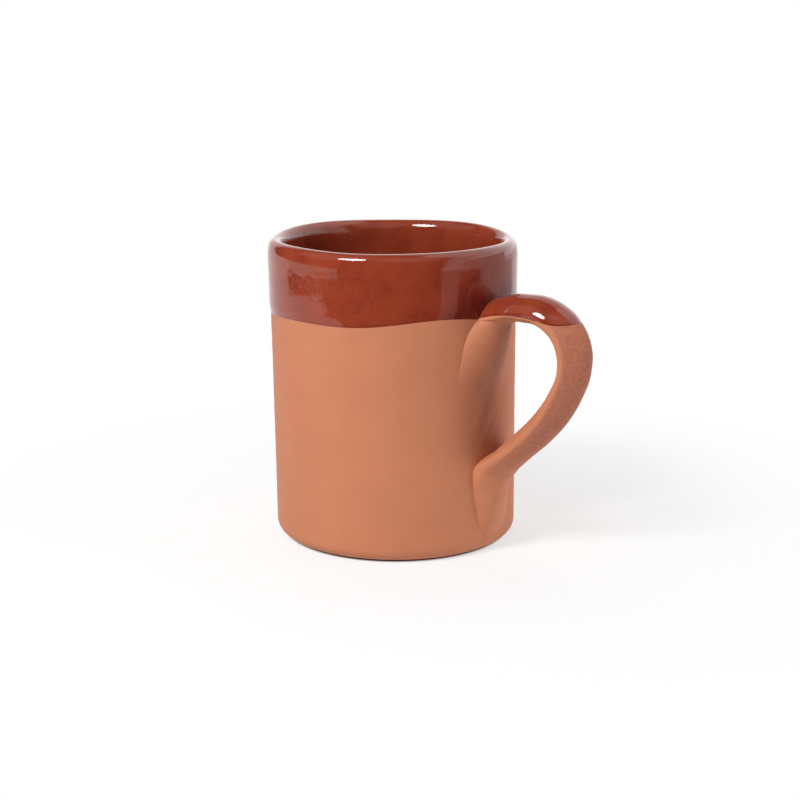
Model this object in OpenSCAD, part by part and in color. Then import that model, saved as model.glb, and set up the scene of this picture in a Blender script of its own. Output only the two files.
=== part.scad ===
// Straight-sided clay mug with a pulled strap handle, glazed inside and dipped at the rim.
// Millimetres. The origin is the middle of the flat base, +Z is up and the handle points along +X.

/* [Cup] */
// Outside diameter of the clay at the rim
rim_d = 82; // [76:0.5:92]
// Outside diameter of the clay at the base
base_d = 81; // [75:0.5:90]
// Height of the clay from the base to the top of the lip
cup_h = 101; // [94:0.5:120]
// Thickness of the wall and of the lip
wall_t = 4.4; // [3.4:0.1:6]
// Thickness of the floor
floor_t = 6; // [4:0.1:9]
// Radius of the rounded edge round the foot
foot_round = 4.3; // [2:0.1:6]
// Radius of the corner between the floor and the wall inside
well_round = 8; // [4:0.1:14]

/* [Handle] */
// Drop from the top of the lip to the middle of the upper root
root_drop = 18; // [15:0.1:22]
// Rise from the base to the middle of the lower root
foot_rise = 28.8; // [24:0.1:34]
// Drop from the upper root to the middle of the bow
bow_drop = 15.7; // [14:0.1:17]
// Radius of the bow along the middle of the strap
bow_r = 16; // [14.5:0.1:17]
// Reach of the middle of the strap past the wall
bow_reach = 29.6; // [26:0.1:34]
// Radius of the slow curve of the leg below the bow
leg_r = 75; // [60:1:120]
// Radius of the bend where the leg turns down the wall
bend_r = 11; // [8:0.1:14]
// Width of the strap at the upper root
root_w = 17.6; // [14:0.1:21]
// Width of the strap at the bow
bow_w = 15.3; // [12:0.1:19]
// Width of the strap at the middle of the leg
leg_w = 15.3; // [12:0.1:19]
// Width of the strap where it meets the wall at the lower root
foot_w = 19; // [15:0.1:23]
// Width of the end of the tail
tail_w = 6; // [4:0.1:10]
// Thickness of the strap at the upper root
root_t = 8.2; // [6:0.1:10]
// Thickness of the strap at the bow
bow_t = 7.6; // [6:0.1:10]
// Thickness of the strap at the middle of the leg
leg_t = 8.4; // [6:0.1:10]
// Thickness of the strap where it meets the wall at the lower root
foot_t = 8; // [6:0.1:10]
// Height of the end of the tail over its slip
tail_t = 0.5; // [0.3:0.1:1.5]
// Gap between the rounded foot and the end of the tail
tail_gap = 0.8; // [0.2:0.1:6]
// Thickness of the slip between the strap and the wall
slip_t = 0.5; // [0.3:0.05:1]

/* [Root fillet] */
// Length of the fillet down the wall, from the middle of the upper root
fillet_l = 31; // [22:0.5:36]
// Width of the fillet where it is widest
fillet_w = 31; // [24:0.5:36]
// Depth of the fillet in the corner under the strap
fillet_depth = 6; // [3:0.1:8]
// Thickness of the wiped edge of the fillet
fillet_edge = 0.5; // [0.3:0.05:1]

/* [Glaze] */
// Thickness of the glaze
glaze_t = 0.4; // [0.2:0.05:0.8]
// Drop from the top of the lip to the dip line, at the middle of the mug
dip_drop = 22.6; // [18:0.1:24]
// Rise of the dip line from the middle of the mug to the handle's side
dip_rise = 1.4; // [0:0.1:3]

/* [Hidden] */

// Overrun of every cut
overrun = 2;
// Segments round the cup, in each arc of the profile, and round the strap
round_fn = 360;
arc_steps = 12;
strap_sides = 20;
// Rings along the root, the bow, the leg, the bend and the tail of the strap
root_rings = 4;
bow_rings = 20;
leg_rings = 12;
bend_rings = 8;
tail_rings = 10;
// Rows and columns of the root fillet
fillet_rows = 14;
fillet_cols = 16;

// The widest line of the strap lies towards the finger side by this share of its half thickness
belly_share = 0.2;
// Roundness of the strap's outer and finger sides: 1 is an ellipse, less is squarer
outer_round_share = 0.9;
finger_round_share = 0.65;
// Width of the fillet at its top, as a share of the strap's, and at its lower end, as a share of its widest
fillet_top_share = 0.75;
fillet_end_share = 0.3;
// Place down the fillet where it is widest
fillet_wide_share = 0.55;
// Part of the fillet's width that its wiped edge takes
fillet_edge_share = 0.08;

clay = "#c57b5b";
wiped_clay = "#b96f51";
slip_clay = "#a9654a";
glaze = "#8f3a24";
liner = "#7a2c1c";

rim_r = rim_d / 2;
base_r = base_d / 2;
lip_r = wall_t / 2;
taper = atan((rim_r - base_r) / cup_h);
root_z = cup_h - root_drop;
bow_z = root_z - bow_drop;
foot_z = foot_rise;
tail_z = foot_round + tail_gap;
dip_z = cup_h - dip_drop;
dip_tilt = atan(dip_rise / rim_r);
reach = rim_r + bow_reach + root_t + overrun;

function mix(a, b, t) = a + (b - a) * t;
function ease(t) = t * t * (3 - 2 * t);
function clamp(t) = min(max(t, 0), 1);
function dir(a) = [cos(a), sin(a)];
function bearing(p) = atan2(p[1], p[0]);
function unit(p) = p / norm(p);
function signed_pow(v, e) = sign(v) * pow(abs(v), e);
function arc_length(r, a) = r * a * PI / 180;
function arc_angle(r, l) = l / r * 180 / PI;
function arc(c, r, a0, a1) = [for (i = [0 : arc_steps]) c + r * dir(mix(a0, a1, i / arc_steps))];

// Outside radius of the clay wall at a height, and the height of the dip plane over a distance
function wall_r(z) = mix(base_r, rim_r, z / cup_h);
function dip_height(x) = dip_z + x * tan(dip_tilt);

// Cup profile: centres of the foot's rounding, the lip and the inside corner
foot_c = [wall_r(foot_round) - foot_round / cos(taper), foot_round];
lip_c = [wall_r(cup_h - lip_r) - lip_r / cos(taper), cup_h - lip_r];
well_z = floor_t + well_round;
well_c = [wall_r(well_z) - (wall_t + well_round) / cos(taper), well_z];

// Strap route in the plane of the handle: a straight root, the bow, a slow leg, a bend and a tail
root_p = [wall_r(root_z), root_z];
foot_p = [wall_r(foot_z), foot_z];
bow_c = [wall_r(bow_z) + bow_reach - bow_r, bow_z];
bow_a0 = bearing(root_p - bow_c) - acos(bow_r / norm(root_p - bow_c));
bow_p = bow_c + bow_r * dir(bow_a0);

// The leg's arc runs on from the bow without a kink and ends at the lower root
foot_span = norm(foot_p - bow_c);
foot_dir = unit(foot_p - bow_c);
leg_shift = leg_r - bow_r;
leg_along = (leg_shift * leg_shift - leg_r * leg_r + foot_span * foot_span) / (2 * foot_span);
leg_aside = sqrt(leg_shift * leg_shift - leg_along * leg_along);
leg_c = bow_c + leg_along * foot_dir + leg_aside * [foot_dir[1], -foot_dir[0]];
bow_a1 = bearing(bow_c - leg_c);

// The bend rolls off the leg's arc and onto the wall
wall_up = dir(90 - taper);
bend_base = [base_r + bend_r / cos(taper), 0];
bend_off = bend_base - leg_c;
bend_along = wall_up * bend_off;
bend_aside = bend_off * bend_off - pow(leg_r + bend_r, 2);
bend_c = bend_base - (bend_along + sqrt(bend_along * bend_along - bend_aside)) * wall_up;
leg_a1 = bearing(bend_c - leg_c);
tail_heading = -90 - taper;
tail_p = bend_c + bend_r * dir(tail_heading - 90);

// The strap's root starts inside the wall and is cut off there
embed = wall_t;
s_root = embed + norm(bow_p - root_p);
s_bow = s_root + arc_length(bow_r, bow_a0 - bow_a1);
s_leg = s_bow + arc_length(leg_r, bow_a1 - leg_a1);
s_bend = s_leg + arc_length(bend_r, tail_heading - (leg_a1 - 90));
s_tail = s_bend + (tail_p[1] - tail_z) / cos(taper);

// Point and heading of the route at a length along it
function on_root(s) = [root_p + (s - embed) * dir(bow_a0 - 90), bow_a0 - 90];
function on_circle(c, r, a) = [c + r * dir(a), a - 90];
function on_bow(s) = on_circle(bow_c, bow_r, bow_a0 - arc_angle(bow_r, s - s_root));
function on_leg(s) = on_circle(leg_c, leg_r, bow_a1 - arc_angle(leg_r, s - s_bow));
function bend_at(h) = [bend_c + bend_r * dir(h - 90), h];
function on_bend(s) = bend_at(leg_a1 - 90 + arc_angle(bend_r, s - s_leg));
function on_tail(s) = [tail_p + (s - s_bend) * dir(tail_heading), tail_heading];
function route(s) =
    s < s_root ? on_root(s) :
    s < s_bow ? on_bow(s) :
    s < s_leg ? on_leg(s) :
    s < s_bend ? on_bend(s) : on_tail(s);

// Widths and thicknesses along the route, eased from one key to the next
key_s = [embed, (s_root + s_bow) / 2, (s_bow + s_leg) / 2, (s_leg + s_bend) / 2, s_tail];
key_w = [root_w, bow_w, leg_w, foot_w, tail_w];
key_t = [root_t, bow_t, leg_t, foot_t, 2 * (slip_t + tail_t)];
function key_at(s, i = 0) = i == len(key_s) - 2 || s < key_s[i + 1] ? i : key_at(s, i + 1);
function key_share(s, i) = clamp((s - key_s[i]) / (key_s[i + 1] - key_s[i]));
function eased(keys, s, i) = mix(keys[i], keys[i + 1], ease(key_share(s, i)));
function strap_w(s) = eased(key_w, s, key_at(s));
function strap_t(s) = eased(key_t, s, key_at(s));

// Ring of the strap at a length along the route, grown by a skin of glaze
function section(s, skin, a) =
    let (
        half_w = strap_w(s) / 2 + skin,
        half_t = strap_t(s) / 2 + skin,
        belly = -belly_share * half_t,
        outer = sin(a) >= 0,
        e = outer ? outer_round_share : finger_round_share,
        depth = outer ? half_t - belly : half_t + belly
    )
    [half_w * signed_pow(cos(a), e), belly + depth * signed_pow(sin(a), e)];
function ring_point(s, skin, a) =
    let (at = route(s), q = section(s, skin, a), p = at[0] + q[1] * dir(at[1] + 90))
    [p[0], q[0], p[1]];
function ring(s, skin) = [for (k = [0 : strap_sides - 1]) ring_point(s, skin, 360 * k / strap_sides)];

function steps(s0, s1, n) = [for (i = [0 : n - 1]) mix(s0, s1, i / n)];
stations = concat(
    steps(0, s_root, root_rings), steps(s_root, s_bow, bow_rings), steps(s_bow, s_leg, leg_rings),
    steps(s_leg, s_bend, bend_rings), steps(s_bend, s_tail, tail_rings), [s_tail]
);

// Stations from the first to one past the last that rises over the dip line
function rises(s) = let (at = route(s)) at[0][1] + strap_t(s) / 2 + glaze_t > dip_height(at[0][0]);
last_wet = max([for (i = [0 : len(stations) - 1]) if (rises(stations[i])) i]);
wet_stations = [for (i = [0 : min(last_wet + 1, len(stations) - 1)]) stations[i]];

// Two triangles for each four-sided patch between two rows of points, and a fan over an end
function patch(a, b, c, d) = [[a, c, b], [a, d, c]];
function wrap(row, next, n) = [
    for (k = [0 : n - 1]) each patch(row + k, row + (k + 1) % n, next + (k + 1) % n, next + k)
];
function fan(row, n) = [for (k = [1 : n - 2]) [row, row + k, row + k + 1]];
function turned(faces) = [for (f = faces) [f[0], f[2], f[1]]];

// Strap through a list of stations
module strap(at) {
    n = strap_sides;
    last = len(at) - 1;
    sides = [for (i = [0 : last - 1]) each wrap(i * n, (i + 1) * n, n)];
    polyhedron(
        points = [for (s = at) each ring(s, 0)],
        faces = concat(fan(0, n), sides, turned(fan(last * n, n)))
    );
}

// Tube of glaze round the strap through a list of stations
module glaze_tube(at) {
    n = strap_sides;
    last = len(at) - 1;
    inner = len(at) * n;
    outside = [for (i = [0 : last - 1]) each wrap(i * n, (i + 1) * n, n)];
    inside = [for (i = [0 : last - 1]) each turned(wrap(inner + i * n, inner + (i + 1) * n, n))];
    polyhedron(
        points = concat([for (s = at) each ring(s, glaze_t)], [for (s = at) each ring(s, 0)]),
        faces = concat(outside, inside, wrap(inner, 0, n), wrap(last * n, inner + last * n, n))
    );
}

// Solid inside the cup's outer wall, grown by a skin
module wall_core(skin) {
    h = cup_h + 2 * overrun;
    translate([0, 0, -overrun])
        cylinder(h = h, r1 = wall_r(-overrun) + skin, r2 = wall_r(cup_h + overrun) + skin, $fn = round_fn);
}

// Everything over the tilted dip plane
module over_dip_line() {
    translate([0, 0, dip_z])
        rotate([0, -dip_tilt, 0])
            translate([-reach, -reach, 0])
                cube([2 * reach, 2 * reach, cup_h]);
}

// Place and half width of the root fillet along its length
fillet_z0 = root_z - root_t * (1 - belly_share) / 4;
function fillet_flare(t) = mix(root_w * fillet_top_share, fillet_w, ease(t)) / 2;
function fillet_toe(t) = fillet_w * sqrt(1 - (1 - fillet_end_share * fillet_end_share) * t * t) / 2;
function fillet_half(v) =
    v < fillet_wide_share
        ? fillet_flare(v / fillet_wide_share)
        : fillet_toe((v - fillet_wide_share) / (1 - fillet_wide_share));
function fillet_swell(u, v) = fillet_depth * pow(1 - v, 3) * pow(1 - u * u, 1.5);
function fillet_point(u, v, lift) =
    let (
        z = mix(fillet_z0, root_z - fillet_l, v),
        r = wall_r(z) + lift,
        a = arc_angle(wall_r(z), u * fillet_half(v))
    )
    [r * cos(a), r * sin(a), z];

// Shares across and down the fillet: the first and last lines are its wiped edge
function edged(i, n) =
    i == 0 ? 0 : i == n ? 1 : mix(fillet_edge_share / 2, 1 - fillet_edge_share / 2, (i - 1) / (n - 2));
function fillet_lift(i, j, u, v) =
    i == 0 || i == fillet_cols || j == fillet_rows ? -overrun / 2 : fillet_edge + fillet_swell(u, v);

// Wad of soft clay under the upper root, before the strap and the wall are taken from it
module fillet_wad() {
    row = fillet_cols + 1;
    back = row * (fillet_rows + 1);
    us = [for (i = [0 : fillet_cols]) 2 * edged(i, fillet_cols) - 1];
    vs = [for (j = [0 : fillet_rows]) edged(j, fillet_rows)];
    front_points = [
        for (j = [0 : fillet_rows]) for (i = [0 : fillet_cols])
            fillet_point(us[i], vs[j], fillet_lift(i, j, us[i], vs[j]))
    ];
    back_points = [
        for (j = [0 : fillet_rows]) for (i = [0 : fillet_cols]) fillet_point(us[i], vs[j], -overrun)
    ];
    front = [
        for (j = [0 : fillet_rows - 1]) for (i = [0 : fillet_cols - 1])
            each patch(j * row + i, j * row + i + 1, (j + 1) * row + i + 1, (j + 1) * row + i)
    ];
    rim = concat(
        [for (i = [0 : fillet_cols]) i],
        [for (j = [1 : fillet_rows]) j * row + fillet_cols],
        [for (i = [1 : fillet_cols]) fillet_rows * row + fillet_cols - i],
        [for (j = [1 : fillet_rows - 1]) (fillet_rows - j) * row]
    );
    edge = [
        for (k = [0 : len(rim) - 1])
            let (a = rim[k], b = rim[(k + 1) % len(rim)])
            each patch(b, a, back + a, back + b)
    ];
    polyhedron(
        points = concat(front_points, back_points),
        faces = concat(front, turned([for (f = front) f + [back, back, back]]), edge)
    );
}

module cup_body() {
    color(clay)
        rotate_extrude($fn = round_fn)
            polygon(concat(
                [[0, floor_t], [0, 0]],
                arc(foot_c, foot_round, -90, -taper),
                arc(lip_c, lip_r, -taper, 180 - taper),
                arc(well_c, well_round, -taper, -90)
            ));
}

module handle() {
    color(clay)
        difference() {
            strap(stations);
            wall_core(slip_t);
        }
}

module upper_root_fillet() {
    color(wiped_clay)
        difference() {
            fillet_wad();
            wall_core(0);
            strap([for (s = stations) if (s <= s_root) s]);
        }
}

module slip_bond(at) {
    color(slip_clay)
        intersection() {
            strap(at);
            difference() {
                wall_core(slip_t);
                wall_core(0);
            }
        }
}

module upper_slip_bond() {
    slip_bond([for (s = stations) if (s <= s_root) s]);
}

module lower_slip_bond() {
    slip_bond([for (s = stations) if (s >= s_bow) s]);
}

module liner_glaze() {
    color(liner)
        rotate_extrude($fn = round_fn)
            polygon(concat(
                arc(lip_c, lip_r, 90, 180 - taper),
                arc(well_c, well_round, -taper, -90),
                [[0, floor_t], [0, floor_t + glaze_t]],
                arc(well_c, well_round - glaze_t, -90, -taper),
                arc(lip_c, lip_r + glaze_t, 180 - taper, 90)
            ));
}

module dip_glaze() {
    low_z = dip_z - dip_rise - overrun;
    color(glaze)
        difference() {
            intersection() {
                rotate_extrude($fn = round_fn)
                    polygon(concat(
                        [[wall_r(low_z) + glaze_t / cos(taper), low_z], [wall_r(low_z), low_z]],
                        arc(lip_c, lip_r, -taper, 90),
                        arc(lip_c, lip_r + glaze_t, 90, -taper)
                    ));
                over_dip_line();
            }
            strap([for (s = stations) if (s <= s_root) s]);
            fillet_wad();
        }
}

module handle_glaze() {
    color(glaze)
        difference() {
            intersection() {
                glaze_tube(wet_stations);
                over_dip_line();
            }
            wall_core(glaze_t);
            fillet_wad();
        }
}

cup_body();
handle();
upper_root_fillet();
upper_slip_bond();
lower_slip_bond();
liner_glaze();
dip_glaze();
handle_glaze();
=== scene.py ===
"""Looks of a straight-sided clay mug: bare earthenware, a pulled strap handle and a glossy rim dip.

Shapes are worked out in millimetres, in the frame of the solids. handmade() then bends every piece
alike, as the potter's hand does, and build_mesh() turns millimetres into metres.
"""
import math

import bmesh
import bpy
import numpy as np
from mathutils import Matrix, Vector


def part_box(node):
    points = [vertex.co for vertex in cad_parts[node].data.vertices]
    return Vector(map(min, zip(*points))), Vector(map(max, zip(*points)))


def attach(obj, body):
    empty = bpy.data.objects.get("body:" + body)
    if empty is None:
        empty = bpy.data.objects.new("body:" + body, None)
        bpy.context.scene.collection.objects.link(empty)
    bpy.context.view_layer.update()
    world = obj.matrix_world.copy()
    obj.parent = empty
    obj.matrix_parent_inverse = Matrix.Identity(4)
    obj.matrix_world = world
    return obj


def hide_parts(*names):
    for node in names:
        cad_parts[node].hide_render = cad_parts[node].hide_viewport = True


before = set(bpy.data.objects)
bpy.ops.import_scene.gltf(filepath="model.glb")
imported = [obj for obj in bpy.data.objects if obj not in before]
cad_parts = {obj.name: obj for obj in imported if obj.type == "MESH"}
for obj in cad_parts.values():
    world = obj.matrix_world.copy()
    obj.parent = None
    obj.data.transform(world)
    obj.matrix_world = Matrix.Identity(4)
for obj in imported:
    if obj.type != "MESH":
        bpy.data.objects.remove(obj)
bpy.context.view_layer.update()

MM = 0.001


def solid_box(node):
    """Lowest and highest corner of a solid, in millimetres."""
    low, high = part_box(node)
    return np.array(low) / MM, np.array(high) / MM


# Cup
RIM_R = solid_box("cup_body")[1][0]
CUP_H = solid_box("cup_body")[1][2]
FLOOR_T = solid_box("liner_glaze")[0][2]
BASE_R = RIM_R - 0.5
WALL_T = 4.4
FOOT_ROUND = 4.3
FOOT_LIFT = 0.5
FOOT_BEVEL = 1.3
WELL_ROUND = 8.0
LIP_R = 2.1
LIP_BREAK = 9.0
LIP_SLOPE_R = 22.0
LIP_INNER_RISE = 5.4
LIP_INNER_W = 2.7
# Points along each part of the cup's profile, and round the cup
UNDERSIDE_STEPS = 33
BEVEL_STEPS = 3
ROUND_STEPS = 14
WALL_STEPS = 110
LIP_SLOPE_STEPS = 12
LIP_STEPS = 16
LIP_INNER_STEPS = 24
INSIDE_STEPS = 90
FLOOR_STEPS = 36
CUP_COLS = 224

# Strap: straight out of the wall, over the bow, down the leg, round the bend and down the wall as a tail
ROOT_Z = CUP_H - 18
ROOT_HEADING = 1.29
ROOT_L = 13.17
BOW_R, BOW_TURN = 16.0, -115.4
LEG_R, LEG_TURN = 75.0, -31.25
BEND_R, BEND_TURN = 6.0, 55.07
TAIL_L = 19.7
EMBED = WALL_T
SEAT_DEPTH = 0.6
STRAP_COLS = 112
STRAP_ROWS = 300
OUTLINE_STEPS = 4001
# Faint lengthwise ridges that the pulling hand left beside the edges, and where they fade in and out
FLUTES = 5
FLUTE_DEPTH = 0.22
FLUTE_START_L = 15
FLUTE_END_L = 10

# Glaze: it runs out thin at its edge, and its back lies just under the face of the clay
GLAZE_T = solid_box("dip_glaze")[1][2] - CUP_H
GLAZE_EDGE_L = 3.0
GLAZE_EDGE_SHARE = 0.6
UNDER_SKIN = 0.04
LIP_OVERLAP = 3.2
# Rows of the skins' meshes, and how much closer they lie at the start
DIP_ROWS, DIP_DENSE = 90, 1.8
LINER_ROWS, LINER_DENSE = 150, 1.25
STRAP_DIP_ROWS = 170
BACK_STEP = 6
# Dip line on the cup: its mean height, and its waves as (number round the cup, height, phase in degrees)
DIP_MEAN_Z = 77.3
DIP_WAVES = ((1, 1.16, -40), (2, 0.69, -94), (3, 0.38, -109), (4, 0.4, -119), (5, 0.39, -140))
# Height of the dip line on the strap by distance from the cup's axis, and how much lower its far side starts
STRAP_DIP = (
    (38.0, 78.9), (41.2, 79.7), (44.5, 80.5), (49.0, 81.2), (55.0, 81.1),
    (60.0, 80.5), (63.0, 80.0), (66.0, 79.6), (72.0, 79.9),
)
STRAP_DIP_DROP = 2.4
STRAP_DIP_SIDE = 8.0
STRAP_DIP_FADE = 12.0
# Heights over the dip line where the strap's skin gets a row of its own, as its edge thickens
STRAP_DIP_CUTS = (0.0, 0.15, 0.4, 0.8, 1.4, 2.1, GLAZE_EDGE_L)
# Darker glaze: painted shade in the corners by the upper root and on the handle's side, and pooling along the
# edge
CORNER_SHADE_Y, CORNER_SHADE_Z = 9.0, 79.0
CORNER_SHADE_W, CORNER_SHADE_H = 11.0, 13.0
CORNER_SHADE = 1.4
SIDE_SHADE = 0.42
SIDE_SHADE_FOCUS = 3
POOL_EDGE = 0.4
POOL_EDGE_L = 0.8
STRAP_POOL_GAIN = 1.5

# Camera: straight on the cup's axis, from a little above and from the handle's side
VIEW_AZIMUTH = 36.0
VIEW_PITCH = 13.966
VIEW_YAW = -0.1276
VIEW_DISTANCE = 0.6457
VIEW_HEIGHT = 0.0451
LENS = 85.6
SENSOR = 36.0


def lerp(a, b, t):
    return a + (b - a) * t


def ease(t):
    t = np.clip(t, 0, 1)
    return t * t * (3 - 2 * t)


def keyed(x, keys):
    """Value at x on a smooth curve through keys, which are (place, value) pairs in order."""
    places, values = np.array(keys, dtype=float).T
    slopes = np.gradient(values, places)
    slopes[[0, -1]] = 0
    i = np.clip(np.searchsorted(places, x) - 1, 0, len(places) - 2)
    gap = places[i + 1] - places[i]
    t = np.clip((x - places[i]) / gap, 0, 1)
    push = (slopes[i] * (1 - t) - slopes[i + 1] * t) * gap * t * (1 - t)
    return lerp(values[i], values[i + 1], ease(t)) + push


def ripple(points, size, seed, waves=7):
    """Smooth unevenness of about -1 to 1, with bumps about half of size across."""
    draw = np.random.default_rng(seed)
    total = np.zeros(len(points))
    for _ in range(waves):
        heading = draw.normal(size=3)
        heading *= draw.uniform(0.7, 1.4) / np.linalg.norm(heading)
        total += np.sin(2 * np.pi / size * points @ heading + draw.uniform(0, 2 * np.pi))
    return total / math.sqrt(waves)


def wall_r(z):
    """Radius of the outside of the wall."""
    return lerp(BASE_R, RIM_R, z / CUP_H)


def round_cup(r, azimuth, z):
    """Points from cylinder coordinates, with the azimuth in radians from the handle."""
    r, azimuth, z = np.broadcast_arrays(r, azimuth, z)
    return np.stack([r * np.cos(azimuth), r * np.sin(azimuth), z], axis=-1)


# The hand's unevenness, shared by every piece: throwing rings that the outside keeps only a share of, a rim
# that lifts on one side, dips four times round and swells below the lip, a faint ripple, and a lean
RING_SWELL = 0.07
RING_PITCH = 7.5
RING_OUTSIDE = 0.25
RIM_WOBBLE = 0.26
RIM_WAVES = 4
RIM_DIP_AZIMUTH = math.radians(126)
RIM_DROP = 0.15
RIM_LIFT = 0.65
RIM_LIFT_FOCUS = 10
RIM_LIFT_AZIMUTH = math.radians(-50)
RIM_SWELL = 0.3
RIM_SWELL_END = 5
SKIN_RIPPLE = 0.02
SKIN_RIPPLE_SIZE = 17
SKIN_RIPPLE_SEED = 3
SKIN_RIPPLE_START = 1 / 8
LEAN = np.array([-0.9, -0.65])
LEAN_FADE = 18.0


def handmade(points):
    """Leans the cup, and gives it faint throwing rings and a rim that isn't quite level or round."""
    x, y, z = points.T
    r = np.hypot(x, y)
    azimuth = np.arctan2(y, x)
    up = np.clip(z / CUP_H, 0, 1.1)
    near = 1 - ease((r - wall_r(z)) / LEAN_FADE)
    inside = ease((wall_r(z) - r) / WALL_T)
    rings = RING_SWELL * np.sin(2 * np.pi * z / RING_PITCH + azimuth) * np.sin(np.pi * np.clip(up, 0, 1))
    swell = rings * lerp(RING_OUTSIDE, 1.0, inside)
    swell += SKIN_RIPPLE * ripple(points, SKIN_RIPPLE_SIZE, SKIN_RIPPLE_SEED) * ease(up / SKIN_RIPPLE_START)
    swell += RIM_SWELL * up**3 * near * ease((CUP_H - z) / RIM_SWELL_END)
    lift = RIM_LIFT * np.exp(RIM_LIFT_FOCUS * (np.cos(azimuth - RIM_LIFT_AZIMUTH) - 1)) - RIM_DROP
    lift -= RIM_WOBBLE * np.cos(RIM_WAVES * (azimuth - RIM_DIP_AZIMUTH))
    out = points.copy()
    out[:, 0] += swell * np.cos(azimuth)
    out[:, 1] += swell * np.sin(azimuth)
    out[:, 2] += lift * up**6 * near
    out[:, :2] += np.outer(z / CUP_H * near, LEAN)
    return out


# Meshes
WELD = 1e-7
CUT_WELD = 2e-7
CUT_SNAP = 1e-6
SLIVER = 1e-8


def build_mesh(name, points, faces, attributes, weld):
    """Smooth welded mesh over points in millimetres, with named values at the points."""
    mesh = bpy.data.meshes.new(name)
    mesh.from_pydata((handmade(points) * MM).tolist(), [], faces)
    for key, values in attributes.items():
        mesh.attributes.new(key, "FLOAT", "POINT").data.foreach_set("value", values.ravel())
    welded = bmesh.new()
    welded.from_mesh(mesh)
    bmesh.ops.remove_doubles(welded, verts=welded.verts, dist=weld)
    bmesh.ops.dissolve_degenerate(welded, edges=welded.edges, dist=SLIVER)
    bmesh.ops.recalc_face_normals(welded, faces=welded.faces)
    welded.to_mesh(mesh)
    welded.free()
    mesh.shade_smooth()
    piece = bpy.data.objects.new(name, mesh)
    bpy.context.collection.objects.link(piece)
    return piece


def make_piece(name, points, wrap_rows=False, attributes=None):
    """Closed mesh over rows of points. Columns join round, and rows that meet in one point close the ends."""
    rows, cols = points.shape[:2]
    index = np.arange(rows * cols).reshape(rows, cols)
    if wrap_rows:
        index = np.vstack([index, index[:1]])
    here, after = index[:-1], index[1:]
    faces = np.stack([here, np.roll(here, -1, 1), np.roll(after, -1, 1), after], axis=-1).reshape(-1, 4)
    return build_mesh(name, points.reshape(-1, 3), faces.tolist(), attributes or {}, WELD)


def capped(rows):
    """Rows with one more at each end, where every entry is the mean of the end row."""
    first, last = (np.broadcast_to(row.mean(axis=0), row.shape)[None] for row in (rows[0], rows[-1]))
    return np.concatenate([first, rows, last])


def stand_for(piece, node, material):
    """Gives a piece its material, ties it to the body and hides the solid it stands for."""
    piece.data.materials.clear()
    piece.data.materials.append(material)
    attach(piece, "root")
    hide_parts(node)
    return piece


# Cup profile, as points (r, z) from the middle of the underside, up the wall, over the lip and down inside
def line(start, end, steps):
    return np.linspace(start, end, steps, endpoint=False)


def arc(centre, radii, first, last, steps):
    angles = np.radians(np.linspace(first, last, steps, endpoint=False))
    return np.array(centre) + np.array(radii) * np.stack([np.cos(angles), np.sin(angles)], axis=1)


def cup_profile():
    slope_rise = LIP_SLOPE_R * math.sin(math.radians(LIP_BREAK))
    slope_in = LIP_SLOPE_R * (1 - math.cos(math.radians(LIP_BREAK)))
    lip_z = CUP_H - LIP_R * (1 - math.sin(math.radians(LIP_BREAK))) - slope_rise
    inner_lip_z = CUP_H - LIP_INNER_RISE
    crest_r = wall_r(lip_z) - slope_in - LIP_R * math.cos(math.radians(LIP_BREAK))
    well_z = FLOOR_T + WELL_ROUND
    foot_z = FOOT_LIFT + FOOT_ROUND
    foot_c = (wall_r(foot_z) - FOOT_ROUND, foot_z)
    slope_c = (wall_r(lip_z) - LIP_SLOPE_R, lip_z)
    well_c = (wall_r(well_z) - WALL_T - WELL_ROUND, well_z)
    return np.concatenate([
        line((0, 0), (foot_c[0] - FOOT_BEVEL, 0), UNDERSIDE_STEPS),
        line((foot_c[0] - FOOT_BEVEL, 0), (foot_c[0], FOOT_LIFT), BEVEL_STEPS),
        arc(foot_c, (FOOT_ROUND, FOOT_ROUND), -90, 0, ROUND_STEPS),
        line((wall_r(foot_z), foot_z), (wall_r(lip_z), lip_z), WALL_STEPS),
        arc(slope_c, (LIP_SLOPE_R, LIP_SLOPE_R), 0, LIP_BREAK, LIP_SLOPE_STEPS),
        arc((crest_r, CUP_H - LIP_R), (LIP_R, LIP_R), LIP_BREAK, 90, LIP_STEPS),
        arc((crest_r, inner_lip_z), (LIP_INNER_W, LIP_INNER_RISE), 90, 180, LIP_INNER_STEPS),
        line((crest_r - LIP_INNER_W, inner_lip_z), (well_c[0] + WELL_ROUND, well_z), INSIDE_STEPS),
        arc(well_c, (WELL_ROUND, WELL_ROUND), 0, -90, ROUND_STEPS),
        line((well_c[0], FLOOR_T), (0, FLOOR_T), FLOOR_STEPS),
        [(0, FLOOR_T)],
    ])


PROFILE = cup_profile()
PROFILE_L = np.concatenate([[0], np.cumsum(np.linalg.norm(np.diff(PROFILE, axis=0), axis=1))])
PROFILE_ALONG = np.gradient(PROFILE, PROFILE_L, axis=0)
PROFILE_OUT = np.stack([PROFILE_ALONG[:, 1], -PROFILE_ALONG[:, 0]], axis=1)
PROFILE_OUT /= np.linalg.norm(PROFILE_OUT, axis=1, keepdims=True)
CREST = int(np.argmax(PROFILE[:, 1]))
CREST_L = PROFILE_L[CREST]
CUP_AZIMUTHS = np.linspace(0, 2 * np.pi, CUP_COLS, endpoint=False)


def on_cup(length, azimuth, skin):
    """Points on the cup at lengths along its profile, lifted off the clay by a skin."""
    def along(values):
        return np.interp(length, PROFILE_L, values)
    r = along(PROFILE[:, 0]) + skin * along(PROFILE_OUT[:, 0])
    z = along(PROFILE[:, 1]) + skin * along(PROFILE_OUT[:, 1])
    return round_cup(np.maximum(r, 0), azimuth, z)


def wall_length(z):
    """Length along the profile of a height on the outside of the wall."""
    outside = slice(UNDERSIDE_STEPS + BEVEL_STEPS, CREST)
    return np.interp(z, PROFILE[outside, 1], PROFILE_L[outside])


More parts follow.
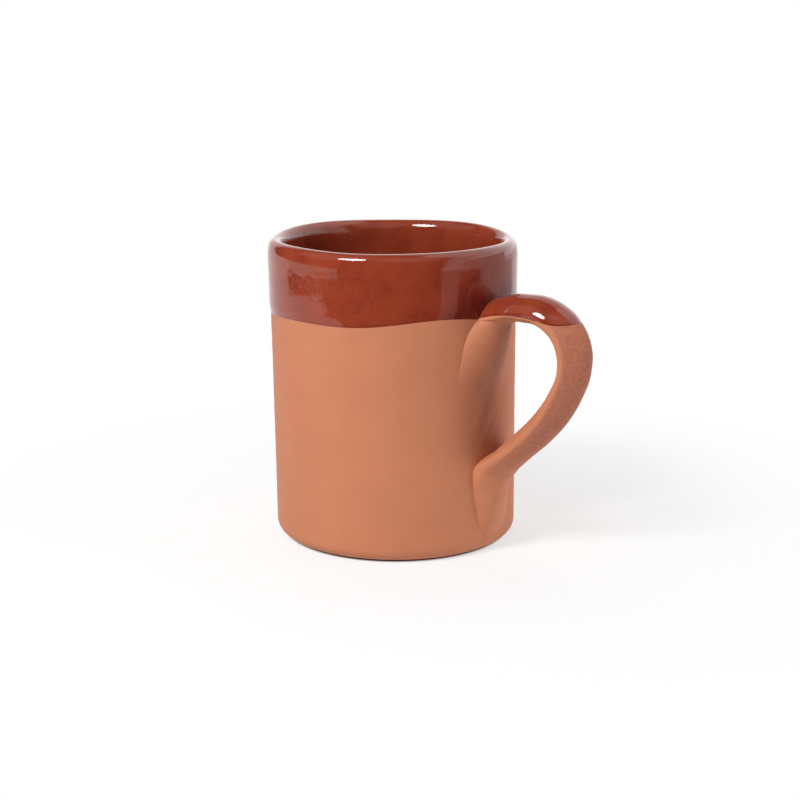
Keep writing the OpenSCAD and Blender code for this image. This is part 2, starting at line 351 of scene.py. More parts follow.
def dip_z(azimuth):
    """Height of the dip line round the cup."""
    return DIP_MEAN_Z + sum(a * np.cos(k * azimuth - math.radians(p)) for k, a, p in DIP_WAVES)


# Slip wiped over the clay between the roots, darkened further as painted shade under the arch, by height: its
# half width, its middle and how much of it there is. It fades out towards both ends.
SLIP_AND_SHADE_WIDTHS = ((54.0, 9.5), (60.0, 8.0), (65.0, 6.5), (70.0, 4.6), (78.0, 4.6))
SLIP_AND_SHADE_MIDDLES = (
    (40.0, -4.0), (54.0, -3.0), (60.0, -2.0), (65.0, -1.2), (70.0, -1.0), (74.0, -0.8), (78.0, 0.2),
)
SLIP_AND_SHADE_LEVELS = ((54.0, 0.75), (60.0, 0.75), (65.0, 0.85), (69.0, 1.0), (78.0, 1.0))
SLIP_AND_SHADE_LOW_Z, SLIP_AND_SHADE_HIGH_Z = 30.0, 84.0
SLIP_AND_SHADE_FADE = 8


def wiped_clay(points):
    """How much wiped slip and painted shade lie on the clay, from 0 to 1."""
    x, y, z = np.moveaxis(points, -1, 0)
    level = keyed(z, SLIP_AND_SHADE_LEVELS)
    level = level * ease((z - SLIP_AND_SHADE_LOW_Z) / SLIP_AND_SHADE_FADE) * ease((SLIP_AND_SHADE_HIGH_Z - z) / SLIP_AND_SHADE_FADE)
    return np.exp(-((y - keyed(z, SLIP_AND_SHADE_MIDDLES)) / keyed(z, SLIP_AND_SHADE_WIDTHS))**2) * level * (x > 0)


def make_cup():
    points = on_cup(PROFILE_L[:, None], CUP_AZIMUTHS[None, :], 0)
    return make_piece("cup", points, attributes={"wiped": wiped_clay(points)})


# Glaze on the cup
def skin_rows(count, dense):
    """Shares from 0 to 1, closer together at the start."""
    return np.linspace(0, 1, count) ** dense


def edge_skin(distance):
    """Thickness of the glaze at a distance from its edge."""
    t = np.clip(distance / GLAZE_EDGE_L, 0, 1)
    return GLAZE_T * t * (2 - t) * lerp(GLAZE_EDGE_SHARE, 1.0, t) - UNDER_SKIN * (1 - t)


def painted_glaze_shade(points):
    """Painted shade on the glaze: how much darker it is in the corners beside the upper root and on the
    handle's side.
    """
    x, y, z = np.moveaxis(points, -1, 0)
    corner = CORNER_SHADE * np.exp(-((np.abs(y) - CORNER_SHADE_Y) / CORNER_SHADE_W)**2 - ((z - CORNER_SHADE_Z) / CORNER_SHADE_H)**2) * (x > 0)
    side = SIDE_SHADE * np.exp(SIDE_SHADE_FOCUS * (x / np.hypot(x, y) - 1))
    return np.maximum(corner, side)


def edge_pool(distance):
    """How much darker the glaze is at a distance from its edge, where it gathered as it ran."""
    return POOL_EDGE * np.exp(-(distance / POOL_EDGE_L)**2)


def make_dip():
    low = wall_length(dip_z(CUP_AZIMUTHS))[None, :]
    high = CREST_L + LIP_OVERLAP
    length = lerp(low, high, skin_rows(DIP_ROWS, DIP_DENSE)[:, None])
    over = ease((length - CREST_L) / LIP_OVERLAP)
    skin = edge_skin(length - low) * (1 - over) - UNDER_SKIN * over
    front = on_cup(length, CUP_AZIMUTHS[None, :], skin)
    back = on_cup(length[::-BACK_STEP], CUP_AZIMUTHS[None, :], -2 * UNDER_SKIN)
    points = np.concatenate([front, back])
    pool_and_shade = painted_glaze_shade(points)
    pool_and_shade[:len(front)] += edge_pool(length - low)
    return make_piece("rim_dip", points, wrap_rows=True, attributes={"pool_and_shade": np.clip(pool_and_shade, 0, 1)})


def make_liner():
    end = PROFILE_L[-1]
    length = lerp(CREST_L - LIP_OVERLAP, end, skin_rows(LINER_ROWS, LINER_DENSE))[:, None]
    taper = ease((CREST_L - length) / LIP_OVERLAP)
    front = on_cup(length, CUP_AZIMUTHS[None, :], GLAZE_T * (1 - taper) - UNDER_SKIN * taper)
    back = on_cup(length[::BACK_STEP], CUP_AZIMUTHS[None, :], -2 * UNDER_SKIN)
    back_end = on_cup(np.array([[end]]), CUP_AZIMUTHS[None, :], -2 * UNDER_SKIN)
    return make_piece("liner", np.concatenate([front[::-1], back, back_end]))


# Strap
def strap_parts():
    """Lengths and turns of the strap's route, in order."""
    def bend(radius, turn):
        return abs(math.radians(turn)) * radius, turn
    bends = (bend(BOW_R, BOW_TURN), bend(LEG_R, LEG_TURN), bend(BEND_R, BEND_TURN))
    return [(EMBED + ROOT_L, 0.0), *bends, (TAIL_L, 0.0)]


def advance(point, heading, curve, length):
    """Point after a length along an arc of a given curvature, or along a straight line."""
    length = np.asarray(length, dtype=float)
    half = curve * length / 2
    chord = length * np.sinc(half / np.pi)
    return point + np.stack([chord * np.cos(heading + half), chord * np.sin(heading + half)], axis=-1)


def strap_joints():
    """Length, point, heading and curvature where each part of the route starts, and the whole length."""
    heading = math.radians(ROOT_HEADING)
    point = np.array([wall_r(ROOT_Z), ROOT_Z]) - EMBED * np.array([math.cos(heading), math.sin(heading)])
    length = 0.0
    joints = []
    for part, turn in strap_parts():
        curve = math.radians(turn) / part
        joints.append((length, point, heading, curve))
        length += part
        point = advance(point, heading, curve, part)
        heading += math.radians(turn)
    return joints, length


STRAP_JOINTS, STRAP_L = strap_joints()
ROOT_END, BOW_END, LEG_END, BEND_END = (joint[0] for joint in STRAP_JOINTS[1:])
BOW_MID = (ROOT_END + BOW_END) / 2
LEG_MID = (BOW_END + LEG_END) / 2
BEND_MID = (LEG_END + BEND_END) / 2
# The strap's section, by length along its route
STRAP_WIDTHS = (
    (EMBED, 18.2), (EMBED + 4.5, 17.2), (EMBED + 9, 16.5), (ROOT_END, 15.8), (ROOT_END + 6, 15.5),
    (BOW_MID, 15.6), (LEG_MID, 15.5), (LEG_END - 7, 17.0), (LEG_END, 20.2), (BEND_MID, 21.2),
    (BEND_END, 20.9), (BEND_END + 2, 20.2), (BEND_END + 5.7, 18.2), (BEND_END + 9.2, 15.0),
    (BEND_END + 15.4, 10.6), (STRAP_L, 7.0),
)
# Thickness of the strap's edges, and their roundness: 1 is an ellipse, more is sharper and less is blunter
STRAP_EDGES = (
    (EMBED, 0.8), (EMBED + 9, 1.6), (ROOT_END, 2.2), (ROOT_END + 3, 2.6), (ROOT_END + 9, 2.8),
    (BOW_MID, 2.5), (BOW_MID + 6, 2.2), (LEG_MID, 2.2), (LEG_END - 6, 2.4), (LEG_END, 2.6),
    (BEND_END, 4.2), (BEND_END + 2, 5.8), (BEND_END + 5.7, 6.6), (BEND_END + 9.2, 5.8),
    (BEND_END + 15.4, 3.6), (STRAP_L, 1.2),
)
STRAP_ROUNDS = (
    (EMBED, 0.7), (ROOT_END, 0.34), (ROOT_END + 9, 0.3), (BOW_MID, 0.36), (LEG_MID, 0.4),
    (LEG_END - 6, 0.38), (LEG_END, 0.36), (BEND_MID, 0.42), (BEND_END, 0.8), (BEND_END + 2, 1.05),
    (BEND_END + 5.7, 1.15), (STRAP_L, 1.2),
)
# How far the outer face and the finger face swell beyond the edges, and how much thicker the edges are on
# the finger side, in the corner over the lower root
STRAP_CROWNS = (
    (EMBED, 5.4), (EMBED + 9, 4.6), (ROOT_END, 4.35), (ROOT_END + 3, 4.15), (ROOT_END + 9, 4.25),
    (BOW_MID, 5.2), (BOW_MID + 6, 5.75), (BOW_MID + 11, 5.6), (BOW_END, 5.55), (LEG_MID - 10, 5.4),
    (LEG_MID - 4, 5.0), (LEG_MID + 2, 4.5), (LEG_END - 10, 4.15), (LEG_END - 4, 4.55), (LEG_END, 5.0),
    (BEND_END, 2.6), (BEND_END + 2, 1.9), (BEND_END + 5.7, 1.4), (BEND_END + 9.2, 1.1),
    (BEND_END + 15.4, 0.6), (STRAP_L, 0.1),
)
STRAP_PALMS = (
    (EMBED, 2.5), (ROOT_END, 2.2), (BOW_MID, 1.5), (LEG_END, 1.5), (BEND_END, 0.5), (STRAP_L, 0.2),
)
STRAP_CORNERS = (
    (LEG_END - 4, 0.0), (LEG_END + 1, 1.1), (BEND_MID + 0.5, 1.7), (BEND_END + 1, 0.3), (BEND_END + 3, 0.0),
)
# Shift of the edges outwards from the route, and of the whole section to the far side
STRAP_SHIFTS = (
    (EMBED, -3.9), (EMBED + 9, -1.65), (ROOT_END, -1.6), (ROOT_END + 3, -1.45), (ROOT_END + 9, -1.4),
    (BOW_MID, -1.35), (BOW_MID + 6, -1.65), (BOW_MID + 11, -1.75), (BOW_END, -1.6),
    (LEG_MID - 10, -1.35), (LEG_MID + 2, -1.35), (LEG_END - 10, -1.55), (LEG_END - 4, -1.5),
    (LEG_END, -1.05), (BEND_END, 0.3), (BEND_END + 2, 0.0), (BEND_END + 5.7, -0.2),
    (BEND_END + 15.4, -0.2), (STRAP_L, -0.3),
)
STRAP_DRIFTS = (
    (LEG_END, 0.0), (BEND_END, -0.3), (BEND_END + 5.7, -1.15), (BEND_END + 9.2, -1.9),
    (BEND_END + 15.4, -2.5), (STRAP_L, -2.9),
)
# How much wider the tail is on the far side, where it was wiped flush
STRAP_FARS = (
    (LEG_END, 0.0), (BEND_END, 0.6), (BEND_END + 5.7, 3.2), (BEND_END + 9.2, 4.6),
    (BEND_END + 15.4, 5.6), (STRAP_L, 5.6),
)
# How far the highest line of the tail lies to the near side of its middle
STRAP_SKEWS = (
    (LEG_END, 0.0), (BEND_END, 2.4), (BEND_END + 5.7, 3.6), (BEND_END + 9.2, 3.2),
    (BEND_END + 15.4, 2.0), (STRAP_L, 0.6),
)
# How much darker the strap's outer face is, which starts beside the edges
OUTER_FACE_DARKENING = (
    (ROOT_END, 0.8), (BOW_MID, 1.0), (LEG_MID, 1.0), (LEG_END - 8, 0.6), (LEG_END, 0.2), (BEND_END, 0.0),
)
OUTER_DARK_FROM, OUTER_DARK_FADE = 0.15, 0.5


def route(s):
    """Points and headings of the strap's middle line at lengths s."""
    point = np.zeros(s.shape + (2,))
    heading = np.zeros(s.shape)
    for start, at, first, curve in STRAP_JOINTS:
        past = s >= start
        point[past] = advance(at, first, curve, s[past] - start)
        heading[past] = first + curve * (s[past] - start)
    return point, heading


def signed_pow(value, power):
    return np.sign(value) * np.abs(value)**power


def on_strap(s, angle, skin):
    """Points on the strap at lengths s and angles round it, lifted off the clay by a skin."""
    s, angle, skin = np.broadcast_arrays(s, angle, skin)
    roundness = keyed(s, STRAP_ROUNDS)
    place = signed_pow(np.cos(angle), roundness)
    rise = signed_pow(np.sin(angle), roundness)
    outer = np.sin(angle) >= 0
    across = (keyed(s, STRAP_WIDTHS) / 2 + skin) * place + keyed(s, STRAP_DRIFTS)
    across = across - keyed(s, STRAP_SKEWS) * rise**2 + keyed(s, STRAP_FARS) * np.maximum(place, 0)
    fluted = ease((s - EMBED) / FLUTE_START_L) * ease((LEG_END - s) / FLUTE_END_L) * outer
    swell = np.where(outer, keyed(s, STRAP_CROWNS), -keyed(s, STRAP_PALMS))
    swell = swell + FLUTE_DEPTH * place**2 * np.cos(FLUTES * np.pi * place) * fluted
    feathered = ease((s - LEG_END) / (BEND_END + 2 - LEG_END)) * (np.cos(angle) > 0)
    rise = rise * lerp(1, np.abs(rise), feathered)
    half_edge = keyed(s, STRAP_EDGES) / 2 + skin + np.where(outer, 0, keyed(s, STRAP_CORNERS))
    out = half_edge * rise + swell * (1 - place**2) + keyed(s, STRAP_SHIFTS)
    middle, heading = route(s)
    hugged = across**2 / (2 * BASE_R) * ease((s - LEG_END) / (BEND_END - LEG_END))
    x = middle[..., 0] - out * np.sin(heading) - hugged
    z = middle[..., 1] + out * np.cos(heading)
    return seated(np.stack([x, across, z], axis=-1))


def seated(points):
    """Stops points inside the wall just under its face."""
    r = np.hypot(points[..., 0], points[..., 1])
    least = wall_r(points[..., 2]) - SEAT_DEPTH
    grow = np.where(r < least, least / np.maximum(r, 1), 1)
    return points * np.stack([grow, grow, np.ones_like(grow)], axis=-1)


def strap_angles(count):
    """Angles once round the strap from the middle of its finger side, evenly spaced along its outline."""
    fine = np.linspace(-0.5 * np.pi, 1.5 * np.pi, OUTLINE_STEPS)
    outline = on_strap(np.array(BOW_MID), fine, 0)
    walked = np.concatenate([[0], np.cumsum(np.linalg.norm(np.diff(outline, axis=0), axis=1))])
    return np.interp(np.linspace(0, walked[-1], count), walked, fine)


def make_strap():
    s = np.linspace(0, STRAP_L, STRAP_ROWS)[:, None]
    angles = strap_angles(STRAP_COLS + 1)[None, :-1]
    outer_dark = keyed(s, OUTER_FACE_DARKENING) * ease((np.sin(angles) - OUTER_DARK_FROM) / OUTER_DARK_FADE)
    return make_piece("strap", capped(on_strap(s, angles, 0)), attributes={"outer_dark": capped(outer_dark)})


# Glaze on the strap
def over_dip(points):
    """Height of strap points over the dip line, which starts lower on the far side, as on the cup."""
    x, y, z = np.moveaxis(points, -1, 0)
    drop = STRAP_DIP_DROP * ease(y / STRAP_DIP_SIDE) * (1 - ease((x - RIM_R) / STRAP_DIP_FADE))
    return z - keyed(x, STRAP_DIP) + drop


def make_strap_dip():
    """Skin over the part of the strap above the dip line, cut out of its unrolled surface."""
    s = np.linspace(0, BOW_END, STRAP_DIP_ROWS)
    s_grid, angle_grid = np.meshgrid(s, strap_angles(STRAP_COLS + 1), indexing="ij")
    height = over_dip(on_strap(s_grid, angle_grid, 0))
    flat = bmesh.new()
    corners = np.stack([s_grid, angle_grid, height], axis=-1)
    verts = [[flat.verts.new(corner) for corner in row] for row in corners]
    for row, after in zip(verts[:-1], verts[1:]):
        for a, b, c, d in zip(row[:-1], row[1:], after[1:], after[:-1]):
            flat.faces.new((a, b, c, d))
    for step, level in enumerate(STRAP_DIP_CUTS):
        bmesh.ops.bisect_plane(
            flat, geom=flat.verts[:] + flat.edges[:] + flat.faces[:], dist=CUT_SNAP,
            plane_co=(0, 0, level), plane_no=(0, 0, 1), clear_inner=step == 0)
    flat.verts.index_update()
    cut = np.array([vert.co[:] for vert in flat.verts])
    faces = [[vert.index for vert in face.verts] for face in flat.faces]
    border = [[vert.index for vert in edge.verts] for edge in flat.edges if edge.is_boundary]
    flat.free()
    count = len(cut)
    front = on_strap(cut[:, 0], cut[:, 1], edge_skin(cut[:, 2]))
    back = on_strap(cut[:, 0], cut[:, 1], np.full(count, -2 * UNDER_SKIN))
    back_faces = [[i + count for i in reversed(face)] for face in faces]
    sides = [[a, b, b + count, a + count] for a, b in border]
    pool_and_shade = np.tile(STRAP_POOL_GAIN * edge_pool(cut[:, 2]), 2)
    return build_mesh(
        "handle_dip", np.concatenate([front, back]), faces + back_faces + sides, {"pool_and_shade": pool_and_shade}, CUT_WELD)


def wall_patch(name, azimuth, z, lift, sunk):
    """Closed piece on the outside of the wall, lifted off its face and sunk into it."""
    front = round_cup(wall_r(z) + lift, azimuth, z)
    back = round_cup(wall_r(z) - sunk, azimuth, z)
    shell = np.concatenate([front, back[:, ::-1]], axis=1)
    return make_piece(name, capped(shell), attributes={"wiped": capped(wiped_clay(shell))})


# Wad of clay that is wiped down the wall under the upper root, by height: how far its near side lies from the
# handle's middle plane, and how high its crest stands on the wall. Its far side is shorter.
WIPE_WIDTHS = (
    (56.0, 17.0), (60.0, 17.0), (63.4, 16.6), (66.2, 16.0), (68.6, 15.4), (71.1, 14.9), (73.4, 13.8),
    (75.8, 12.4), (77.0, 11.4), (78.5, 10.0), (79.4, 8.8), (80.4, 7.0),
)
WIPE_CRESTS = (
    (56.0, -0.1), (58.0, 0.15), (60.0, 0.6), (62.0, 1.3), (65.0, 2.4), (68.0, 3.4), (72.0, 4.5),
    (75.0, 5.1), (77.0, 5.5), (78.5, 6.5), (79.3, 7.8), (80.4, 10.0),
)
WIPE_CREST_Y = -2.0
WIPE_FAR_Y = 8.5
WIPE_POWER = 2.3
WIPE_HEM = 0.1
WIPE_ROWS = 110
WIPE_COLS = 121


def make_wipe():
    z = np.linspace(WIPE_WIDTHS[-1][0], WIPE_WIDTHS[0][0], WIPE_ROWS)[:, None]
    u = np.sin(np.linspace(-0.5, 0.5, WIPE_COLS) * np.pi)[None, :]
    near = keyed(z, WIPE_WIDTHS)
    far = np.minimum(near, WIPE_FAR_Y)
    across = WIPE_CREST_Y + u * np.where(u < 0, near + WIPE_CREST_Y, far - WIPE_CREST_Y)
    hem = 2 * UNDER_SKIN * (1 - ease((1 - np.abs(u)) / WIPE_HEM))
    lift = keyed(z, WIPE_CRESTS) * (1 - np.abs(u)**WIPE_POWER) - hem
    return wall_patch("root_wipe", across / wall_r(z), z, lift, SEAT_DEPTH)


# Slip under the roots: middle and half of the width, by height
UPPER_SLIP = ((79.5, 0.0, 7.5), (82.0, 0.0, 6.0), (84.0, 0.0, 3.5))
LOWER_SLIP = ((6.0, -2.8, 1.8), (9.0, -2.4, 3.4), (16.0, -1.6, 6.2), (22.0, -0.7, 8.4), (29.0, -0.2, 8.4))
SLIP_T = 0.45
SLIP_PROUD = 0.05
SLIP_ROWS = 40
SLIP_COLS = 31


def make_slip(name, keys):
    """Thin layer on the wall that a root hides."""
    places, middles, halves = np.array(keys).T
    z = np.linspace(places[0], places[-1], SLIP_ROWS)[:, None]
    u = np.linspace(-1, 1, SLIP_COLS)[None, :]
    across = keyed(z, np.stack([places, middles], axis=1)) + u * keyed(z, np.stack([places, halves], axis=1))
    return wall_patch(name, across / wall_r(z), z, SLIP_PROUD, SLIP_T)


# Materials
def add(tree, kind, inputs=None, **settings):
    """New node with its settings, and its inputs set to values or linked to sockets."""
    node = tree.nodes.new(kind)
    for key, value in settings.items():
        setattr(node, key, value)
    for key, value in (inputs or {}).items():
        if isinstance(value, bpy.types.NodeSocket):
            tree.links.new(value, node.inputs[key])
        else:
            node.inputs[key].default_value = value
    return node


def new_material(name):
    material = bpy.data.materials.new(name)
    material.use_nodes = True
    tree = material.node_tree
    return material, tree, tree.nodes["Principled BSDF"]


def noise(tree, scale, detail=3.0, stretch=(1, 1, 1), turn=(0, 0, 0)):
    """Noise over the mug's own coordinates, with its scale in waves to a metre."""
    place = add(tree, "ShaderNodeTexCoord").outputs["Object"]
    turned = add(tree, "ShaderNodeMapping", {"Vector": place, "Rotation": turn}).outputs[0]
    stretched = add(tree, "ShaderNodeMapping", {"Vector": turned, "Scale": stretch}).outputs[0]
    inputs = {"Vector": stretched, "Scale": scale, "Detail": detail}
    return add(tree, "ShaderNodeTexNoise", inputs).outputs["Fac"]


def ramp(tree, value, low, high):
    """Value from 0 at low to 1 at high, eased."""
    return add(tree, "ShaderNodeMapRange", {"Value": value, "From Min": low, "From Max": high},
               interpolation_type="SMOOTHSTEP").outputs[0]


def lerp_value(tree, factor, low, high, start=0.0, end=1.0):
    """Value from low to high as the factor goes from start to end."""
    return add(tree, "ShaderNodeMapRange", {
        "Value": factor, "From Min": start, "From Max": end, "To Min": low, "To Max": high}).outputs[0]


def mix(tree, factor, a, b):
    """Colour mixed from a to b, each a colour or a socket."""
    colours = [value if isinstance(value, bpy.types.NodeSocket) else (*value, 1) for value in (a, b)]
    return add(tree, "ShaderNodeMix", {0: factor, 6: colours[0], 7: colours[1]}, data_type="RGBA").outputs[2]


def maths(tree, operation, a, b):
    return add(tree, "ShaderNodeMath", {0: a, 1: b}, operation=operation).outputs[0]


def times(tree, a, b):
    return maths(tree, "MULTIPLY", a, b)


def attribute(tree, name):
    return add(tree, "ShaderNodeAttribute", attribute_name=name).outputs["Fac"]


def dress(tree, shader, colour, normal, roughness, ior):
    """Gives a shader its colour, its relief and its gloss."""
    tree.links.new(colour, shader.inputs["Base Color"])
    tree.links.new(normal, shader.inputs["Normal"])
    shader.inputs["Roughness"].default_value = roughness
    shader.inputs["IOR"].default_value = ior


# Colours: clay and slip are (base, pale, dark)
CLAY_COLOURS = ((0.56, 0.2, 0.098), (0.61, 0.222, 0.108), (0.44, 0.14, 0.068))
SLIP_COLOURS = ((0.45, 0.15, 0.08), (0.5, 0.17, 0.09), (0.36, 0.11, 0.06))
# Slip colour wiped between the roots, dark enough to paint the shade under the arch as well
SLIP_AND_SHADE_COLOUR = (0.24, 0.09, 0.052)
OUTER_FACE_CLAY = (0.41, 0.132, 0.076)
GLAZE_BROWN = (0.3, 0.046, 0.019)
GLAZE_CLOUD = (0.245, 0.034, 0.016)
GLAZE_FLECK = (0.38, 0.075, 0.025)
# Dark glaze where it pooled along its edge, also used as painted shade by the root and on the handle's side
GLAZE_POOL_AND_SHADE = (0.12, 0.01, 0.007)


def clay_material(name, base, pale, dark):
    """Matte fired earthenware with faint clouding, streaks and fine grit, darker in places, and painted shade
    by the roots.
    """
    material, tree, shader = new_material(name)
    cloud = ramp(tree, noise(tree, 60), 0.3, 0.7)
    streak = ramp(tree, noise(tree, 420, 2.0, (0.12, 0.12, 1)), 0.4, 0.75)
    grit = ramp(tree, noise(tree, 2600, 1.0), 0.68, 0.74)
    mottle = ramp(tree, noise(tree, 900), 0.35, 0.65)
    smear = ramp(tree, noise(tree, 300, 3.0, (1, 1, 0.12), (0.6, 0, 0)), 0.3, 0.7)
    outer_dark = attribute(tree, "outer_dark")
    wiped = attribute(tree, "wiped")
    colour = mix(tree, times(tree, cloud, 0.5), base, pale)
    colour = mix(tree, times(tree, streak, 0.045), colour, dark)
    colour = mix(tree, times(tree, grit, 0.3), colour, dark)
    colour = mix(tree, times(tree, outer_dark, lerp_value(tree, mottle, 0.6, 1.0)), colour, OUTER_FACE_CLAY)
    # Wiped slip, deepened into painted shade under the arch and between the roots
    colour = mix(tree, times(tree, wiped, lerp_value(tree, smear, 0.6, 1.0)), colour, SLIP_AND_SHADE_COLOUR)
    smeared = add(tree, "ShaderNodeBump", {
        "Height": times(tree, wiped, smear), "Strength": 0.3, "Distance": 0.0004}).outputs[0]
    grain = add(tree, "ShaderNodeBump", {
        "Height": noise(tree, 2200), "Strength": 0.08, "Distance": 0.0001, "Normal": smeared}).outputs[0]
    dress(tree, shader, colour, grain, roughness=0.6, ior=1.45)
    return material


def glaze_material(name):
    """Glossy clear brown glaze over red clay, clouded and flecked, dark where it pooled and where shade is
    painted.
    """
    material, tree, shader = new_material(name)
    cloud = ramp(tree, noise(tree, 130, 4.0), 0.35, 0.68)
    fleck = ramp(tree, noise(tree, 1500, 2.0), 0.45, 0.75)
    colour = mix(tree, cloud, GLAZE_BROWN, GLAZE_CLOUD)
    colour = mix(tree, times(tree, fleck, 0.35), colour, GLAZE_FLECK)
    # Darker where the glaze pooled along its edge, and painted shade in the corners by the upper root and on
    # the handle's side
    colour = mix(tree, times(tree, attribute(tree, "pool_and_shade"), 0.9), colour, GLAZE_POOL_AND_SHADE)
    waves = add(tree, "ShaderNodeBump", {
        "Height": noise(tree, 400, 4.0), "Strength": 0.5, "Distance": 0.0001}).outputs[0]
    dress(tree, shader, colour, waves, roughness=0.05, ior=1.52)
    return material


CLAY = clay_material("fired_clay", *CLAY_COLOURS)
SLIP = clay_material("fired_slip", *SLIP_COLOURS)
GLAZE = glaze_material("brown_glaze")

stand_for(make_cup(), "cup_body", CLAY)
stand_for(make_strap(), "handle", CLAY)
stand_for(make_wipe(), "upper_root_fillet", CLAY)
stand_for(make_slip("upper_slip", UPPER_SLIP), "upper_slip_bond", SLIP)
stand_for(make_slip("lower_slip", LOWER_SLIP), "lower_slip_bond", SLIP)
stand_for(make_liner(), "liner_glaze", GLAZE)
stand_for(make_dip(), "dip_glaze", GLAZE)
stand_for(make_strap_dip(), "handle_glaze", GLAZE)


# Studio
CARD_STEPS = 40
FLOOR_R = 3
# Distances from the cup's axis in metres: where the painted contact shadow ends, and where plain white sets
# in
PAINTED_CONTACT_R = (0.0362, 0.0382)
PLAIN_R = (0.04, 0.22)
# Clay-red colour painted on the floor at the foot, as the clay's bounce light in the contact shadow
PAINTED_BOUNCE_TINT = (0.3, 0.1, 0.05)
FLOOR_GREY = (0.34, 0.34, 0.34)
FLOOR_GLOW = 0.68
# White sweep that the glaze shows: its heading, its edge and brightness, and its brighter middle
SWEEP_AZIMUTH = 134
SWEEP_Z = -0.4
SWEEP_EDGE = (-0.02, 0.1)
SWEEP_LEVELS = (0.06, 1.0)
SWEEP_MIDDLE = (0.35, 0.6)
SWEEP_MIDDLE_LEVEL = 0.6
# Room that lights the clay: sines of two elevations, and its brightness there
ROOM_HEIGHTS = (0.1, 0.7)
ROOM_LEVELS = (0.5, 0.12)
# Soft boxes that the glaze shows: azimuth, elevation, outer and inner edge as cosines, brightness
SOFT_BOXES = ((-75, 45, 0.84, 0.95, 0.45), (18, 45, 0.9, 0.95, 0.5), (99, 50, 0.935, 0.96, 1.5))


def from_camera(azimuth, elevation, distance):
    """Point at a distance from the mug's middle, at angles in degrees to the right of the camera and up."""
    a = math.radians(VIEW_AZIMUTH + azimuth)
    e = math.radians(elevation)
    flat = distance * math.cos(e)
    return Vector((flat * math.sin(a), -flat * math.cos(a), VIEW_HEIGHT + distance * math.sin(e)))


def make_camera():
    data = bpy.data.cameras.new("camera")
    data.sensor_fit = "HORIZONTAL"
    data.sensor_width = SENSOR
    data.lens = LENS
    camera = bpy.data.objects.new("camera", data)
    camera.location = from_camera(0, VIEW_PITCH, VIEW_DISTANCE)
    camera.rotation_euler = (math.radians(90 - VIEW_PITCH), 0, math.radians(VIEW_AZIMUTH + VIEW_YAW))
    bpy.context.collection.objects.link(camera)
    bpy.context.scene.camera = camera


def make_lamp(name, azimuth, elevation, distance, size, radiance, shows):
    """Soft oval lamp that faces the mug, given by how bright its face is and whether the glaze shows it."""
    data = bpy.data.lights.new(name, "AREA")
    data.shape = "ELLIPSE"
    data.size, data.size_y = size
    data.energy = radiance * math.pi * size[0] * size[1] * math.pi / 4
    lamp = bpy.data.objects.new(name, data)
    lamp.location = from_camera(azimuth, elevation, distance)
    aim = Vector((0, 0, VIEW_HEIGHT)) - lamp.location
    lamp.rotation_euler = aim.to_track_quat("-Z", "Y").to_euler()
    lamp.visible_glossy = shows
    bpy.context.collection.objects.link(lamp)


def arc_card(name, radius, glow, rows):
    """Card bent round the mug, black or glowing grey, which only reflections see.

    Its rows are (height, first azimuth, last azimuth), with the azimuths counted from the camera's side.
    """
    verts = []
    for z, first, last in rows:
        turns = np.radians(VIEW_AZIMUTH + np.linspace(first, last, CARD_STEPS))
        verts += [(radius * math.sin(a), -radius * math.cos(a), z) for a in turns]
    index = np.arange(len(verts)).reshape(len(rows), CARD_STEPS)
    faces = np.stack([index[:-1, :-1], index[:-1, 1:], index[1:, 1:], index[1:, :-1]], axis=-1).reshape(-1, 4)
    mesh = bpy.data.meshes.new(name)
    mesh.from_pydata(verts, [], faces.tolist())
    card = bpy.data.objects.new(name, mesh)
    bpy.context.collection.objects.link(card)
    card.visible_camera = False
    card.visible_diffuse = False
    card.visible_shadow = False
    material, _, shader = new_material(name)
    shader.inputs["Base Color"].default_value = (0.01, 0.01, 0.01, 1)
    shader.inputs["Roughness"].default_value = 1
    shader.inputs["Emission Color"].default_value = (1, 1, 1, 1)
    shader.inputs["Emission Strength"].default_value = glow
    mesh.materials.append(material)


def make_floor():
    """White floor that keeps the mug's shadow and a painted contact shadow, and turns into plain white
    further off.
    """
    bpy.ops.mesh.primitive_circle_add(vertices=64, radius=FLOOR_R, fill_type="NGON")
    floor = bpy.context.object
    floor.name = "floor"
    material, tree, shader = new_material("white_floor")
    tree.nodes.remove(shader)
    light = add(tree, "ShaderNodeLightPath").outputs
    place = add(tree, "ShaderNodeTexCoord").outputs["Object"]
    away = add(tree, "ShaderNodeVectorMath", {0: place}, operation="LENGTH").outputs["Value"]
    # Painted contact shadow at the foot: the floor's glow fades out and it turns clay red
    clear = ramp(tree, away, *PAINTED_CONTACT_R)
    glow = times(tree, clear, FLOOR_GLOW)
    tint = mix(tree, clear, PAINTED_BOUNCE_TINT, FLOOR_GREY)
    near = add(tree, "ShaderNodeAddShader", {
        0: add(tree, "ShaderNodeBsdfDiffuse", {"Color": tint}).outputs[0],
        1: add(tree, "ShaderNodeEmission", {"Color": (1, 1, 1, 1), "Strength": glow}).outputs[0],
    }).outputs[0]
    plain = add(tree, "ShaderNodeEmission", {"Color": (1, 1, 1, 1), "Strength": 1.0}).outputs[0]
    seen = add(tree, "ShaderNodeMixShader", {0: ramp(tree, away, *PLAIN_R), 1: near, 2: plain}).outputs[0]
    lit = add(tree, "ShaderNodeBsdfDiffuse", {"Color": (0.8, 0.8, 0.8, 1)}).outputs[0]
    shows = maths(tree, "MAXIMUM", light["Is Camera Ray"], light["Is Glossy Ray"])
    both = add(tree, "ShaderNodeMixShader", {0: shows, 1: lit, 2: seen})
    tree.links.new(both.outputs[0], tree.nodes["Material Output"].inputs["Surface"])
    floor.data.materials.append(material)


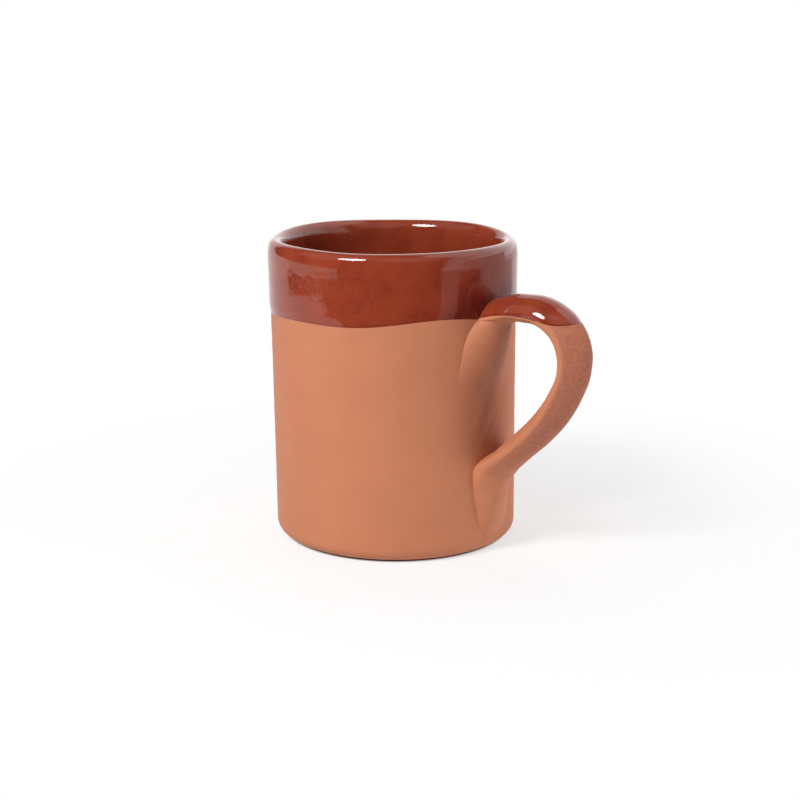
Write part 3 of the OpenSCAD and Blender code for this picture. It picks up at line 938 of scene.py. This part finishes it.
def make_world():
    """White backdrop for the camera, and a room that lights the mug.

    The glaze shows a white sweep behind and to the right, a dark room on the other side, and the soft boxes.
    """
    world = bpy.data.worlds.new("studio")
    bpy.context.scene.world = world
    world.use_nodes = True
    tree = world.node_tree
    background = tree.nodes["Background"]
    light = add(tree, "ShaderNodeLightPath").outputs
    heading = add(tree, "ShaderNodeTexCoord").outputs["Generated"]

    def towards(direction):
        inputs = {0: heading, 1: direction}
        return add(tree, "ShaderNodeVectorMath", inputs, operation="DOT_PRODUCT").outputs["Value"]

    sweep = from_camera(SWEEP_AZIMUTH, 0, 1)
    sweep.z = SWEEP_Z
    side = towards(sweep)
    middle = times(tree, ramp(tree, side, *SWEEP_MIDDLE), SWEEP_MIDDLE_LEVEL)
    shown = maths(tree, "ADD", lerp_value(tree, side, *SWEEP_LEVELS, *SWEEP_EDGE), middle)
    for azimuth, elevation, outer, inner, level in SOFT_BOXES:
        box = ramp(tree, towards(from_camera(azimuth, elevation, 1)), outer, inner)
        shown = maths(tree, "MAXIMUM", shown, times(tree, box, level))
    high = add(tree, "ShaderNodeSeparateXYZ", {0: heading}).outputs["Z"]
    room = lerp_value(tree, high, *ROOM_LEVELS, *ROOM_HEIGHTS)
    lit = add(tree, "ShaderNodeMix", {"Factor": light["Is Glossy Ray"], "A": room, "B": shown}).outputs[0]
    strength = add(tree, "ShaderNodeMix", {"Factor": light["Is Camera Ray"], "A": lit, "B": 1.0}).outputs[0]
    tree.links.new(strength, background.inputs["Strength"])
    background.inputs["Color"].default_value = (1, 1, 1, 1)


make_camera()
make_floor()
make_world()
make_lamp("key", azimuth=-42, elevation=41, distance=1.2, size=(0.45, 0.45), radiance=23, shows=True)
make_lamp("right_fill", azimuth=85, elevation=5, distance=1.2, size=(1.0, 0.25), radiance=8, shows=False)
make_lamp("back_box", azimuth=180, elevation=62, distance=1.3, size=(1.2, 0.8), radiance=1.4, shows=False)
arc_card("camera_side", radius=0.15, glow=0, rows=(
    (0.0, -40, 38), (0.0506, -49.8, 38), (0.059, -58.4, 38),
    (0.0675, -58.4, 38), (0.07, -44, 38), (0.15, -44, 38)))
arc_card("right_near", radius=0.16, glow=0.42, rows=((0.0, 37, 80), (0.078, 37, 80)))
arc_card("right_far", radius=0.17, glow=0.6, rows=((0.0, 79, 128), (0.078, 79, 128)))
arc_card("right_upper", radius=0.165, glow=0.65, rows=((0.078, 58, 112), (0.12, 58, 112)))
arc_card("right_gap", radius=0.155, glow=0, rows=((0.0, 52, 75), (0.06, 52, 75), (0.074, 57, 75)))
arc_card("dark_patch", radius=0.26, glow=0, rows=((0.038, -104, -53), (0.046, -104, -53)))

bpy.context.scene.view_settings.view_transform = "Standard"
